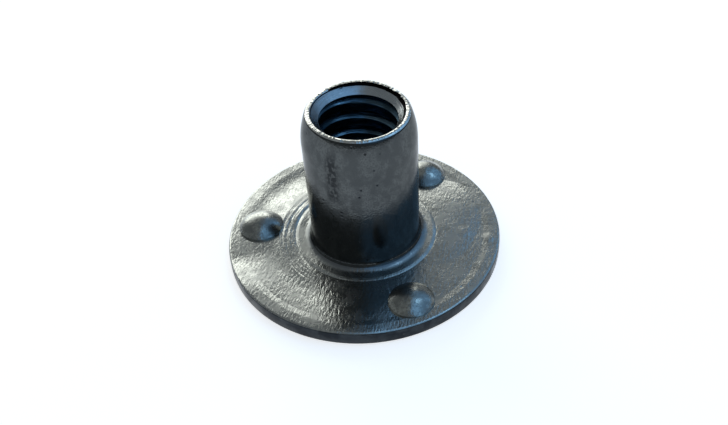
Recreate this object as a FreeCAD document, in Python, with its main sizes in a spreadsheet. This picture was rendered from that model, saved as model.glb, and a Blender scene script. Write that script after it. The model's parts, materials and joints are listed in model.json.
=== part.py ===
# Round-base projection weld nut for a 1/4 inch screw with 20 threads an inch, cold formed from
# one slug of bare steel. A round flange carries a threaded barrel. Three round weld projections
# stand on the flange's barrel side, each raised by a punch that left a dimple in the base below.
# Frame: origin on the axis at the base face, +Z up the barrel, one projection on the -X side.
import FreeCAD, Part
import math
import os

import Sketcher
from FreeCAD import Vector

# Driving dimensions in millimetres, and one count: name, value, meaning
SIZES = (
    ("flange_diameter", 19.05, "outside of the round base, three quarters of an inch"),
    ("flange_thickness", 1.06, "base face to weld face"),
    ("rim_width", 0.77, "faintly raised band along the flange's edge"),
    ("rim_rise", 0.05, "rise of that band above the weld face"),
    ("rim_slope", 0.4, "width of the slope from the weld face up to the band"),
    ("rim_top_radius", 0.14, "rounding of the rim above"),
    ("rim_base_radius", 0.25, "rounding of the rim below"),
    ("bore_diameter", 5.105, "tap drill of the thread, which is its minor diameter"),
    ("barrel_wall", 1.2175, "bore to the outside of the barrel, which is 19/64 inch across"),
    ("overall_height", 11.6, "base face to the lip on top of the barrel"),
    ("nose_height", 2.2, "height over which the barrel's end is rounded in"),
    ("lip_radius", 0.25, "tighter rounding where the nose turns into the lip"),
    ("lip_land", 0.18, "width of the flat land on top of the lip"),
    ("countersink_width", 0.5, "bore to the inside of the lip"),
    ("countersink_depth", 0.62, "height of the countersink below the lip"),
    ("base_countersink_width", 0.75, "bore to the edge of the countersink in the base face"),
    ("base_countersink_depth", 0.7, "height of that countersink above the base face"),
    ("collar_width", 1.18, "barrel to the foot of the shallow ring pressed round it"),
    ("collar_rise", 0.08, "rise of that ring above the weld face"),
    ("collar_slope", 0.1, "width of the ring's sloped edge"),
    ("root_radius", 0.6, "fillet between the ring and the barrel"),
    ("projection_count", 3, "weld projections, evenly spaced"),
    ("projection_pitch", 14.92, "diameter of the circle through their centres"),
    ("projection_diameter", 3.05, "across one projection"),
    ("projection_wall", 0.13, "upright side of a projection above the weld face"),
    ("projection_crown", 0.73, "height of its domed crown above that side"),
    ("dimple_diameter", 2.3, "mouth of the punch mark below each projection"),
    ("dimple_draft", 0.12, "radial taper of the mark's side"),
    ("dimple_side", 0.45, "height of the mark's side"),
    ("dimple_crown", 0.37, "height of the mark's domed end above its side"),
)
ORIGIN_POINT = (-1, 1)
HORIZONTAL_AXIS = -1
START, END, CENTRE = 1, 2, 3

document = FreeCAD.newDocument("projection_weld_nut")


def make_sheet():
    """Writes the driving dimensions into a spreadsheet, one a row, each with its name as alias."""
    sheet = document.addObject("Spreadsheet::Sheet", "Sizes")
    for row, (name, value, meaning) in enumerate(SIZES, start=1):
        sheet.set(f"A{row}", name)
        sheet.set(f"B{row}", str(value))
        sheet.set(f"C{row}", meaning)
        sheet.setAlias(f"B{row}", name)
    document.recompute()
    return sheet


sheet = make_sheet()


def size(name):
    """A driving dimension, read from the spreadsheet."""
    return float(sheet.get(name))


class Outline:
    """A closed outline in a sketch on the body's XZ plane, so a sketch's y is the nut's height.
    Corners are given counter-clockwise, and each side is known by the corner it starts at."""

    def __init__(self, body, name, corners, arc_centres, smooth=()):
        """corners: name and place of each. arc_centres: the centre of the arc that starts at a
        corner; other sides are straight. smooth: corners where two sides meet tangentially."""
        self.sketch = body.newObject("Sketcher::SketchObject", name)
        plane = next(item for item in body.Origin.OriginFeatures if item.Role == "XZ_Plane")
        self.sketch.AttachmentSupport = (plane, [""])
        self.sketch.MapMode = "FlatFace"
        self.corners = corners
        self.starts = {}
        self.ends = {}
        names = list(corners)
        sides = list(zip(names, names[1:] + names[:1]))
        for corner, following in sides:
            self.draw_side(corner, following, arc_centres.get(corner))
        for corner, following in sides:
            join = "Tangent" if following in smooth else "Coincident"
            self.constrain(join, *self.ends[corner], *self.starts[following])

    def constrain(self, kind, *arguments):
        """Adds one constraint and returns its index."""
        return self.sketch.addConstraint(Sketcher.Constraint(kind, *arguments))

    def draw_side(self, corner, following, centre):
        """Draws one side and notes which of its two ends comes first along the outline."""
        ends = [self.corners[corner], self.corners[following]]
        first, last = START, END
        if centre is None:
            side = self.sketch.addGeometry(Part.LineSegment(*ends), False)
        else:
            # An arc runs counter-clockwise, so a hollow side is drawn from its far end.
            if (ends[0] - centre).cross(ends[1] - centre).z < 0:
                ends.reverse()
                first, last = END, START
            angles = [math.atan2(end.y - centre.y, end.x - centre.x) for end in ends]
            circle = Part.Circle(centre, Vector(0, 0, 1), centre.distanceToPoint(ends[0]))
            side = self.sketch.addGeometry(Part.ArcOfCircle(circle, *angles), False)
        self.starts[corner] = (side, first)
        self.ends[corner] = (side, last)

    def level(self, *corners):
        """Keeps the sides that start at these corners horizontal."""
        for corner in corners:
            self.constrain("Horizontal", self.starts[corner][0])

    def upright(self, *corners):
        """Keeps the sides that start at these corners vertical."""
        for corner in corners:
            self.constrain("Vertical", self.starts[corner][0])

    def bind(self, index, name, expression):
        """Names a dimension and binds it to the spreadsheet, by default to the cell of its name."""
        self.sketch.renameConstraint(index, name)
        self.sketch.setExpression(f"Constraints.{name}", expression or f"Sizes.{name}")

    def across(self, name, left, right, expression=None):
        """Dimensions the width between two corners; no corner means the sketch's origin."""
        start = self.corners[left].x if left else 0
        end = self.corners[right].x if right else 0
        points = [self.starts[corner] if corner else ORIGIN_POINT for corner in (left, right)]
        index = self.constrain("DistanceX", *points[0], *points[1], end - start)
        self.bind(index, name, expression)

    def rise(self, name, low, high, expression=None):
        """Dimensions the height between two corners; no low corner means the base face."""
        start = self.corners[low].y if low else 0
        points = [self.starts[corner] if corner else ORIGIN_POINT for corner in (low, high)]
        index = self.constrain("DistanceY", *points[0], *points[1], self.corners[high].y - start)
        self.bind(index, name, expression)

    def radius(self, name, corner, value):
        """Dimensions the radius of the arc that starts at the corner."""
        self.bind(self.constrain("Radius", self.starts[corner][0], value), name, None)


def nose_arc_centre(start, lip_centre, lip_radius):
    """Centre of the arc that leaves the upright barrel at start and runs smoothly into the
    smaller arc round the lip. It lies level with start, and both arcs meet on one line with it."""
    across = start.x - lip_centre.x
    up = lip_centre.y - start.y
    radius = (across**2 + up**2 - lip_radius**2) / (2 * (across - lip_radius))
    return Vector(start.x - radius, start.y)


def draw_section(body):
    """The nut's half section, from the base face round the rim, up the barrel and down the bore."""
    flange_edge = size("flange_diameter") / 2
    weld_face = size("flange_thickness")
    rim_top = weld_face + size("rim_rise")
    rim_inside = flange_edge - size("rim_width")
    base_round = size("rim_base_radius")
    top_round = size("rim_top_radius")
    bore = size("bore_diameter") / 2
    barrel = bore + size("barrel_wall")
    collar_top = weld_face + size("collar_rise")
    collar_foot = barrel + size("collar_width")
    root = size("root_radius")
    lip_top = size("overall_height")
    nose_start = lip_top - size("nose_height")
    lip_inside = bore + size("countersink_width")
    lip_outside = lip_inside + size("lip_land")
    lip_centre = Vector(lip_outside, lip_top - size("lip_radius"))
    nose_centre = nose_arc_centre(Vector(barrel, nose_start), lip_centre, size("lip_radius"))
    nose_to_lip = (lip_centre - nose_centre).normalize()
    corners = {
        "base_mouth": Vector(bore + size("base_countersink_width"), 0),
        "base_edge": Vector(flange_edge - base_round, 0),
        "rim_low": Vector(flange_edge, base_round),
        "rim_high": Vector(flange_edge, rim_top - top_round),
        "rim_edge": Vector(flange_edge - top_round, rim_top),
        "rim_inner": Vector(rim_inside, rim_top),
        "weld_face_outer": Vector(rim_inside - size("rim_slope"), weld_face),
        "collar_foot": Vector(collar_foot, weld_face),
        "collar_edge": Vector(collar_foot - size("collar_slope"), collar_top),
        "root_low": Vector(barrel + root, collar_top),
        "root_high": Vector(barrel, collar_top + root),
        "nose_low": Vector(barrel, nose_start),
        "nose_high": lip_centre + nose_to_lip * size("lip_radius"),
        "lip_outer": Vector(lip_outside, lip_top),
        "lip_inner": Vector(lip_inside, lip_top),
        "bore_top": Vector(bore, lip_top - size("countersink_depth")),
        "bore_base": Vector(bore, size("base_countersink_depth")),
    }
    arc_centres = {
        "base_edge": Vector(flange_edge - base_round, base_round),
        "rim_high": Vector(flange_edge - top_round, rim_top - top_round),
        "root_low": Vector(barrel + root, collar_top + root),
        "nose_low": nose_centre,
        "nose_high": lip_centre,
    }
    smooth = ("base_edge", "rim_low", "rim_high", "rim_edge", "root_low", "root_high")
    smooth += ("nose_low", "nose_high", "lip_outer")
    section = Outline(body, "Section", corners, arc_centres, smooth)
    section.constrain("PointOnObject", *section.starts["base_mouth"], HORIZONTAL_AXIS)
    section.level("base_mouth", "rim_edge", "weld_face_outer", "collar_edge", "lip_outer")
    section.upright("rim_low", "root_high", "bore_top")
    section.across("flange_radius", None, "rim_low", "Sizes.flange_diameter / 2")
    section.across("rim_width", "rim_inner", "rim_low")
    section.across("rim_slope", "weld_face_outer", "rim_inner")
    section.across("bore_radius", None, "bore_top", "Sizes.bore_diameter / 2")
    section.across("barrel_wall", "bore_top", "nose_low")
    section.across("collar_width", "nose_low", "collar_foot")
    section.across("collar_slope", "collar_edge", "collar_foot")
    section.across("countersink_width", "bore_top", "lip_inner")
    section.across("lip_land", "lip_inner", "lip_outer")
    section.across("base_countersink_width", "bore_base", "base_mouth")
    section.rise("flange_thickness", None, "weld_face_outer")
    section.rise("rim_rise", "weld_face_outer", "rim_inner")
    section.rise("collar_rise", "collar_foot", "collar_edge")
    section.rise("overall_height", None, "lip_inner")
    section.rise("nose_height", "nose_low", "lip_outer")
    section.rise("countersink_depth", "bore_top", "lip_inner")
    section.rise("base_countersink_depth", None, "bore_base")
    section.radius("rim_base_radius", "base_edge", base_round)
    section.radius("rim_top_radius", "rim_high", top_round)
    section.radius("root_radius", "root_low", root)
    section.radius("lip_radius", "nose_high", size("lip_radius"))
    return section.sketch


class DomedPlug(Outline):
    """Half section of a round plug with a domed top, beside its own upright axis at the
    projections' circle. It is turned into a weld projection or into the punch mark below it."""

    def __init__(self, body, name, width, foot, shoulder, draft, crown):
        """width: radius at the foot. foot, shoulder: heights of the side's two ends. draft: how
        much the side narrows from the foot up. crown: rise of the dome above the shoulder."""
        axis = -size("projection_pitch") / 2
        dome_width = width - draft
        dome_radius = (dome_width**2 + crown**2) / (2 * crown)
        corners = {
            "foot_centre": Vector(axis, foot),
            "foot_edge": Vector(axis + width, foot),
            "shoulder": Vector(axis + dome_width, shoulder),
            "dome_top": Vector(axis, shoulder + crown),
        }
        arc_centres = {"shoulder": Vector(axis, shoulder + crown - dome_radius)}
        super().__init__(body, name, corners, arc_centres)
        self.level("foot_centre")
        self.upright("dome_top")
        self.across("pitch_radius", "foot_centre", None, "Sizes.projection_pitch / 2")
        dome, axis_side = self.starts["shoulder"][0], self.starts["dome_top"][0]
        self.constrain("PointOnObject", dome, CENTRE, axis_side)
        line = Part.LineSegment(corners["foot_centre"], corners["dome_top"])
        axis_line = self.sketch.addGeometry(line, True)
        self.constrain("Coincident", axis_line, START, *self.starts["foot_centre"])
        self.constrain("Coincident", axis_line, END, *self.starts["dome_top"])


def draw_projection(body):
    """A weld projection: an upright side with a domed crown, rooted halfway down the flange."""
    weld_face = size("flange_thickness")
    shoulder = weld_face + size("projection_wall")
    width = size("projection_diameter") / 2
    plug = DomedPlug(
        body, "ProjectionSection", width, weld_face / 2, shoulder, 0, size("projection_crown")
    )
    plug.upright("foot_edge")
    plug.across("radius", "foot_centre", "foot_edge", "Sizes.projection_diameter / 2")
    plug.rise("foot", None, "foot_centre", "Sizes.flange_thickness / 2")
    plug.rise("shoulder", None, "shoulder", "Sizes.flange_thickness + Sizes.projection_wall")
    plug.rise("projection_crown", "shoulder", "dome_top")
    return plug.sketch


def draw_dimple(body):
    """The mark that the punch leaves in the base face, below a projection."""
    draft = size("dimple_draft")
    width = size("dimple_diameter") / 2
    plug = DomedPlug(
        body, "DimpleSection", width, 0, size("dimple_side"), draft, size("dimple_crown")
    )
    plug.constrain("PointOnObject", *plug.starts["foot_centre"], HORIZONTAL_AXIS)
    plug.across("radius", "foot_centre", "foot_edge", "Sizes.dimple_diameter / 2")
    plug.across("dimple_draft", "shoulder", "foot_edge")
    plug.rise("dimple_side", None, "shoulder")
    plug.rise("dimple_crown", "shoulder", "dome_top")
    return plug.sketch


def turn(body, kind, name, sketch, axis):
    """Turns a sketch fully round an axis of its own, to add (Revolution) or remove (Groove)."""
    before = 0 if body.Shape.isNull() else body.Shape.Volume
    feature = body.newObject(f"PartDesign::{kind}", name)
    feature.Profile = sketch
    feature.ReferenceAxis = (sketch, [axis])
    feature.Angle = 360
    document.recompute()
    change = body.Shape.Volume - before
    if change * (-1 if kind == "Groove" else 1) <= 0:
        raise RuntimeError(f"{name} changed the volume by {change:.3f} mm3")
    return feature


def repeat(body, name, features, sketch):
    """Repeats features evenly round the barrel's axis, which is the sketch's upright axis."""
    pattern = body.newObject("PartDesign::PolarPattern", name)
    pattern.Originals = features
    pattern.Axis = (sketch, ["V_Axis"])
    pattern.Angle = 360
    pattern.setExpression("Occurrences", "Sizes.projection_count")
    body.Tip = pattern
    document.recompute()
    return pattern


def build_nut():
    """The whole nut as one body: the turned form, then the punched projections round it."""
    body = document.addObject("PartDesign::Body", "Nut")
    body.Label = "weld_nut"
    section = draw_section(body)
    turn(body, "Revolution", "TurnedForm", section, "V_Axis")
    projection = turn(body, "Revolution", "Projection", draw_projection(body), "Axis0")
    dimple = turn(body, "Groove", "Dimple", draw_dimple(body), "Axis0")
    repeat(body, "Projections", [projection, dimple], section)
    return body


def check(body):
    """Stops before anything is written if a feature failed or the nut isn't one sound solid."""
    for item in document.Objects:
        if "Invalid" in item.State or "Error" in item.State:
            raise RuntimeError(f"{item.Label} failed: {item.State}")
    shape = body.Shape
    if shape.isNull() or not shape.isValid() or len(shape.Solids) != 1:
        raise RuntimeError(f"{body.Label} is not one valid solid")


nut = build_nut()
document.recompute()
check(nut)
os.makedirs("parts", exist_ok=True)
nut.Shape.exportStep(f"parts/{nut.Label}.step")
box = nut.Shape.optimalBoundingBox(False)
print(f"{nut.Label}: {box.XLength:.3f} x {box.YLength:.3f} x {box.ZLength:.3f} mm")
print(f"volume {nut.Shape.Volume:.2f} mm3, {len(nut.Shape.Faces)} faces")
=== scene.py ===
"""Dresses the projection weld nut in bare cold-formed steel: a threaded barrel on a round flange
with three domed weld projections. It lies on a pale floor in soft studio light."""
import json
import logging
import math
from dataclasses import dataclass, field
from enum import Enum
from typing import Callable

import bpy
from mathutils import Matrix, Quaternion, Vector


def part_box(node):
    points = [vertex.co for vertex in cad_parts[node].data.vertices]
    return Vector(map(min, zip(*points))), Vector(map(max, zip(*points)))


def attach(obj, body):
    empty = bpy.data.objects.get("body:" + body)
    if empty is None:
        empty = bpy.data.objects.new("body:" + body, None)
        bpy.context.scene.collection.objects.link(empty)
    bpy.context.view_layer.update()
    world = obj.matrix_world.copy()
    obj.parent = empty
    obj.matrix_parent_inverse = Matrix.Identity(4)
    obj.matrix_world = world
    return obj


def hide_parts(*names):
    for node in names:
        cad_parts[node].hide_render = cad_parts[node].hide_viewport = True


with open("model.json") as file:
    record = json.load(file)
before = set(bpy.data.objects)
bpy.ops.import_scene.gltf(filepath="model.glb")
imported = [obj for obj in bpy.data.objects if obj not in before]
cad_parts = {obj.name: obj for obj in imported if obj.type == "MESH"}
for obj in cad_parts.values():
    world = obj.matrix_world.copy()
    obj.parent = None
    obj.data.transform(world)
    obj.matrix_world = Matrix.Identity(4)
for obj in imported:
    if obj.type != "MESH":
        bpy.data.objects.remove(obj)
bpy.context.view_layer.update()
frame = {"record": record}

logging.basicConfig(level=logging.INFO, format="%(message)s")
log = logging.getLogger("weld_nut")

MM = 0.001
MICROMETRE = 0.001 * MM
FULL_TURN = 2 * math.pi
# Slack in millimetres where a vertex or a face is told by its place.
TOUCH = 0.01
Point = tuple[float, float]
Span = tuple[float, float]
Colour = tuple[float, float, float]


class Zone(Enum):
    """The parts of the nut's skin that have a finish of their own, or painted shade in the crevice under the
    lip, in the order of its slots.
    """

    FACE = 0
    BARREL = 1
    PROJECTION = 2
    RIM = 3
    BASE = 4
    LIP = 5
    COUNTERSINK = 6
    THREAD = 7
    # The crevice under the lip, painted near-black as its shade.
    CREVICE = 8


class Joining(Enum):
    """What a tool does to the piece that it meets, by the modifier's own words."""

    ADD = "UNION"
    CUT = "DIFFERENCE"


def mount(name: str) -> dict:
    """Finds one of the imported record's mounts.

    Args:
        name: the mount's name.
    Returns:
        The mount's row, with its place and sizes in metres.
    """
    return next(row for row in frame["record"]["mounts"] if row["name"] == name)


@dataclass(frozen=True)
class NutSizes:
    """Sizes of the nut in millimetres. Those that the frame gives are read from it."""

    flange_radius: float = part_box("weld_nut")[1].x / MM
    height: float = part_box("weld_nut")[1].z / MM
    bore_radius: float = mount("thread")["dims"]["r_mm"]
    barrel_radius: float = mount("barrel")["dims"]["r_mm"]
    weld_face: float = mount("weld_face")["pos_m"][2] / MM
    rim_width: float = 0.77
    rim_rise: float = 0.05
    rim_slope: float = 0.4
    rim_top_radius: float = 0.14
    rim_base_radius: float = 0.25
    nose_height: float = 2.2
    lip_radius: float = 0.25
    lip_land: float = 0.18
    countersink_width: float = 0.5
    countersink_depth: float = 0.62
    base_countersink_width: float = 0.75
    base_countersink_depth: float = 0.7
    collar_width: float = 1.18
    collar_rise: float = 0.08
    collar_slope: float = 0.2
    root_radius: float = 0.6
    projection_count: int = 3
    projection_circle: float = 7.46
    projection_radius: float = 1.525
    projection_wall: float = 0.13
    projection_crown: float = 0.73
    dimple_radius: float = 1.15
    dimple_draft: float = 0.12
    dimple_side: float = 0.45
    dimple_crown: float = 0.37
    thread_pitch: float = 1.27
    thread_root_radius: float = 3.11

    @property
    def cone_foot(self) -> float:
        """Height at which the countersink meets the bore."""
        return self.height - self.countersink_depth


SIZES = NutSizes()


def only(piece: bpy.types.Object) -> None:
    """Deselects everything else and makes one object the active one.

    Args:
        piece: the object.
    """
    bpy.ops.object.select_all(action="DESELECT")
    piece.select_set(True)
    bpy.context.view_layer.objects.active = piece


def select(piece: bpy.types.Object, chosen: Callable[[Vector], bool]) -> None:
    """Selects an object alone, and in it the vertices at some places.

    Args:
        piece: the object.
        chosen: tells whether a point, in millimetres, is taken.
    """
    only(piece)
    bpy.ops.object.mode_set(mode="EDIT")
    bpy.ops.mesh.select_mode(type="VERT")
    bpy.ops.mesh.select_all(action="DESELECT")
    bpy.ops.object.mode_set(mode="OBJECT")
    for vertex in piece.data.vertices:
        vertex.select = chosen(vertex.co / MM)


def shift(piece: bpy.types.Object, chosen: Callable[[Vector], bool], step: Vector) -> None:
    """Moves the vertices at some places.

    Args:
        piece: the object.
        chosen: tells whether a point, in millimetres, is moved.
        step: the move, in metres.
    """
    select(piece, chosen)
    bpy.ops.object.mode_set(mode="EDIT")
    bpy.ops.transform.translate(value=step)
    bpy.ops.object.mode_set(mode="OBJECT")


def toward(bearing: float, length: float) -> Vector:
    """Makes a level move.

    Args:
        bearing: its direction round the axis, in degrees.
        length: its length in millimetres.
    Returns:
        The move, in metres.
    """
    turn = math.radians(bearing)
    return Vector((math.cos(turn), math.sin(turn), 0)) * length * MM


def within_half_turn(angle: float) -> float:
    """Brings an angle within half a turn of nought, either way."""
    return (angle + math.pi) % FULL_TURN - math.pi


def dome_radius(half_width: float, rise: float) -> float:
    """Returns the radius of the sphere that a cap of this half width and height is cut from."""
    return (half_width**2 + rise**2) / (2 * rise)


class Outline:
    """A line of edges in the XZ plane, drawn from point to point with a pen that stays down."""

    seam: float = 0.0005 * MM

    def __init__(self, name: str, start: Point) -> None:
        """Starts an object of one vertex.

        Args:
            name: the new object's name.
            start: distance from the axis and height, in millimetres.
        """
        bpy.ops.object.select_all(action="DESELECT")
        bpy.ops.mesh.primitive_plane_add(size=MM)
        self.piece = bpy.context.object
        self.piece.name = name
        self.pen = (0.0, 0.0)
        bpy.ops.object.mode_set(mode="EDIT")
        bpy.ops.mesh.select_all(action="SELECT")
        bpy.ops.mesh.merge(type="CENTER")
        bpy.ops.transform.translate(value=self._step(start))

    def _step(self, point: Point) -> Vector:
        """Moves the pen.

        Args:
            point: distance from the axis and height, in millimetres.
        Returns:
            The move, in metres.
        """
        move = Vector((point[0] - self.pen[0], 0, point[1] - self.pen[1])) * MM
        self.pen = point
        return move

    def line(self, *points: Point) -> None:
        """Draws straight to each point in turn."""
        for point in points:
            bpy.ops.mesh.extrude_vertices_move(TRANSFORM_OT_translate={"value": self._step(point)})

    def arc(self, centre: Point, end: Point, steps: int) -> None:
        """Draws an arc by spinning the pen's vertex.

        Args:
            centre: the arc's centre.
            end: the point that it ends on, or a point in that direction from the centre.
            steps: number of edges.
        """
        before = math.atan2(self.pen[1] - centre[1], self.pen[0] - centre[0])
        after = math.atan2(end[1] - centre[1], end[0] - centre[0])
        turn = within_half_turn(after - before)
        axis_point = Vector((centre[0], 0, centre[1])) * MM
        bpy.ops.mesh.spin(steps=steps, angle=turn, center=axis_point, axis=(0, 1, 0))
        self.pen = end

    def close(self) -> bpy.types.Object:
        """Ends the drawing.

        Returns:
            The object, a line of edges that closes where its ends meet.
        """
        bpy.ops.mesh.select_all(action="SELECT")
        bpy.ops.mesh.remove_doubles(threshold=self.seam)
        bpy.ops.object.mode_set(mode="OBJECT")
        return self.piece

    def turn(self, steps: int, axis_x: float = 0.0) -> bpy.types.Object:
        """Spins the outline a full turn into a closed skin and ends the drawing.

        Args:
            steps: facets round the axis.
            axis_x: distance of the upright axis from the nut's own, in millimetres.
        Returns:
            The turned object, its faces outward.
        """
        bpy.ops.mesh.select_all(action="SELECT")
        bpy.ops.mesh.spin(steps=steps, angle=FULL_TURN, center=(axis_x * MM, 0, 0), axis=(0, 0, 1))
        bpy.ops.mesh.select_all(action="SELECT")
        bpy.ops.mesh.remove_doubles(threshold=self.seam)
        bpy.ops.mesh.normals_make_consistent(inside=False)
        bpy.ops.object.mode_set(mode="OBJECT")
        return self.piece


@dataclass(frozen=True)
class Lip:
    """How the barrel's end was left: a nose pushed to one side, a burr that stands up behind, and
    the crevice below it. Sizes are in millimetres, bearings in degrees round the axis.
    push_share is how much of the nose's height is pushed. The crevice climbs by crevice_rise at
    each of crevice_steps, which are distances behind the axis."""

    drop: float = 0.05
    slope: float = 0.01
    edge: float = 0.04
    inset: float = 0.06
    push: float = 0.04
    push_bearing: float = 80
    push_share: float = 0.8
    lift: float = 0.13
    lift_bearing: float = 88
    lift_reach: float = 62
    lifts: int = 12
    raggedness: float = 0.018
    band: float = 0.14
    seed: int = 4
    crevice_radius: float = 2.9
    crevice_flare: float = 0.1
    crevice_offset: float = 0.27
    crevice_bearing: float = 64
    crevice_low: float = 0.3
    crevice_high: float = 0.08
    crevice_rise: float = 0.035
    crevice_steps: tuple[float, ...] = (0.5, 1.7, 2.6)


@dataclass(frozen=True)
class Blank:
    """The nut's turned body: flange, collar, barrel and bore, before it is punched and tapped.
    The crease is the width of the flat strip that keeps a corner's shading next to it."""

    size: NutSizes = SIZES
    lip: Lip = Lip()
    facets: int = 240
    base_steps: int = 6
    rim_steps: int = 5
    root_steps: int = 10
    nose_steps: int = 16
    lip_steps: int = 6
    crevice_facets: int = 120
    pilot_inset: float = 0.1
    crease: float = 0.03

    @property
    def crest(self) -> float:
        """Height just below the lip's crest."""
        return self.size.height - self.lip.drop - self.lip.slope - TOUCH

    def build(self) -> bpy.types.Object:
        """Draws the half section, turns it and shapes the lip.

        Returns:
            The turned body.
        """
        size = self.size
        drawing = Outline("weld_nut_piece", (size.bore_radius + size.base_countersink_width, 0))
        self._flange(drawing)
        self._barrel(drawing)
        self._mouth(drawing)
        drawing.line(
            (size.bore_radius - self.pilot_inset, size.base_countersink_depth + self.pilot_inset),
            (size.bore_radius + size.base_countersink_width, 0),
        )
        piece = drawing.turn(self.facets)
        self._push_lip(piece)
        self._lift_burr(piece)
        self._roughen_burr(piece)
        return piece

    def _flange(self, drawing: Outline) -> None:
        """Draws the base face, the rim, the weld face and the collar pressed round the barrel.

        Args:
            drawing: the half section, begun at the bore's lower mouth.
        """
        size = self.size
        edge = size.flange_radius
        low, top = size.rim_base_radius, size.rim_top_radius
        rim_top = size.weld_face + size.rim_rise
        inside = edge - size.rim_width
        drawing.line((edge - low - self.crease, 0), (edge - low, 0))
        drawing.arc((edge - low, low), (edge, low), self.base_steps)
        drawing.line((edge, rim_top - top))
        drawing.arc((edge - top, rim_top - top), (edge - top, rim_top), self.rim_steps)
        drawing.line(
            (edge - top - self.crease, rim_top),
            (inside + self.crease, rim_top),
            (inside, rim_top),
            (inside - size.rim_slope, size.weld_face),
            (inside - size.rim_slope - self.crease, size.weld_face),
        )
        foot = size.barrel_radius + size.collar_width
        collar_top = size.weld_face + size.collar_rise
        drawing.line(
            (foot + self.crease, size.weld_face),
            (foot, size.weld_face),
            (foot - size.collar_slope, collar_top),
            (foot - size.collar_slope - self.crease, collar_top),
        )
        root = size.barrel_radius + size.root_radius
        drawing.line((root + self.crease, collar_top), (root, collar_top))
        root_centre = (root, collar_top + size.root_radius)
        drawing.arc(root_centre, (size.barrel_radius, root_centre[1]), self.root_steps)

    def _barrel(self, drawing: Outline) -> None:
        """Draws the barrel's side and its rounded nose, up to the outside of the lip.

        Args:
            drawing: the half section, drawn as far as the barrel's foot.
        """
        size = self.size
        nose_foot = size.height - size.nose_height
        drawing.line((size.barrel_radius, nose_foot))
        land = size.bore_radius + size.countersink_width + size.lip_land - self.lip.inset
        lip = (land, size.height - self.lip.drop - size.lip_radius)
        across = size.barrel_radius - lip[0]
        up = lip[1] - nose_foot
        radius = (across**2 + up**2 - size.lip_radius**2) / (2 * (across - size.lip_radius))
        centre = (size.barrel_radius - radius, nose_foot)
        outward = (Vector(lip) - Vector(centre)).normalized() * size.lip_radius
        drawing.arc(centre, (lip[0] + outward.x, lip[1] + outward.y), self.nose_steps)
        drawing.arc(lip, (lip[0], size.height - self.lip.drop), self.lip_steps)

    def _mouth(self, drawing: Outline) -> None:
        """Draws the sharp crest inside the lip and the countersink down to the pilot hole.

        Args:
            drawing: the half section, drawn as far as the top of the lip.
        """
        size, lip = self.size, self.lip
        inside = size.bore_radius + size.countersink_width
        top = size.height - lip.drop
        start = (inside - 2 * lip.edge, top - lip.slope - 3 * lip.edge)
        pilot = size.bore_radius - self.pilot_inset
        slope = (start[1] - size.cone_foot) / (start[0] - size.bore_radius)
        drawing.line(
            (inside + size.lip_land / 3, top),
            (inside, top - lip.slope),
            (inside - lip.edge, top - lip.slope - lip.edge),
            start,
            (pilot, start[1] - (start[0] - pilot) * slope),
        )

    def _push_lip(self, piece: bpy.types.Object) -> None:
        """Leans the nose to one side, more the higher up.

        Args:
            piece: the turned body.
        """
        size, lip = self.size, self.lip
        inside = size.bore_radius + size.countersink_width + TOUCH
        step = toward(lip.push_bearing, lip.push) / lip.lifts
        for level in range(lip.lifts):
            foot = size.height - size.nose_height * (1 - level / lip.lifts) * lip.push_share
            shift(piece, lambda point: point.z > foot and point.xy.length > inside, step)

    def _lift_burr(self, piece: bpy.types.Object) -> None:
        """Raises the crest behind, in small lifts over an ever narrower stretch.

        Args:
            piece: the turned body.
        """
        lip = self.lip
        middle = math.radians(lip.lift_bearing)
        step = Vector((0, 0, lip.lift * MM / lip.lifts))
        for level in range(lip.lifts):
            reach = math.radians(lip.lift_reach) * (1 - level / lip.lifts)
            shift(
                piece,
                lambda point: point.z > self.crest
                and abs(within_half_turn(math.atan2(point.y, point.x) - middle)) < reach,
                step,
            )

    def _roughen_burr(self, piece: bpy.types.Object) -> None:
        """Scatters the vertices of the land and its crest, as the tool left them.

        Args:
            piece: the turned body.
        """
        select(piece, lambda point: point.z > self.crest)
        bpy.ops.object.mode_set(mode="EDIT")
        bpy.ops.transform.vertex_random(offset=self.lip.raggedness * MM, seed=self.lip.seed)
        bpy.ops.object.mode_set(mode="OBJECT")

    def crevice(self) -> bpy.types.Object:
        """Turns the ring that cuts the crevice, off the axis so that it bites on one side only.

        Returns:
            The closed cutter.
        """
        lip = self.lip
        low, high = self.size.height - lip.crevice_low, self.size.height - lip.crevice_high
        inner = self.size.bore_radius - self.pilot_inset
        drawing = Outline("crevice_cutter", (inner, low))
        foot = (lip.crevice_radius - lip.crevice_flare, low)
        drawing.line(foot, (lip.crevice_radius, high), (inner, high), (inner, low))
        piece = drawing.turn(self.crevice_facets)
        shift(piece, lambda point: True, toward(lip.crevice_bearing, lip.crevice_offset))
        rise = Vector((0, 0, lip.crevice_rise * MM))
        for behind in lip.crevice_steps:
            shift(piece, lambda point: point.y > behind, rise)
        return piece


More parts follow.
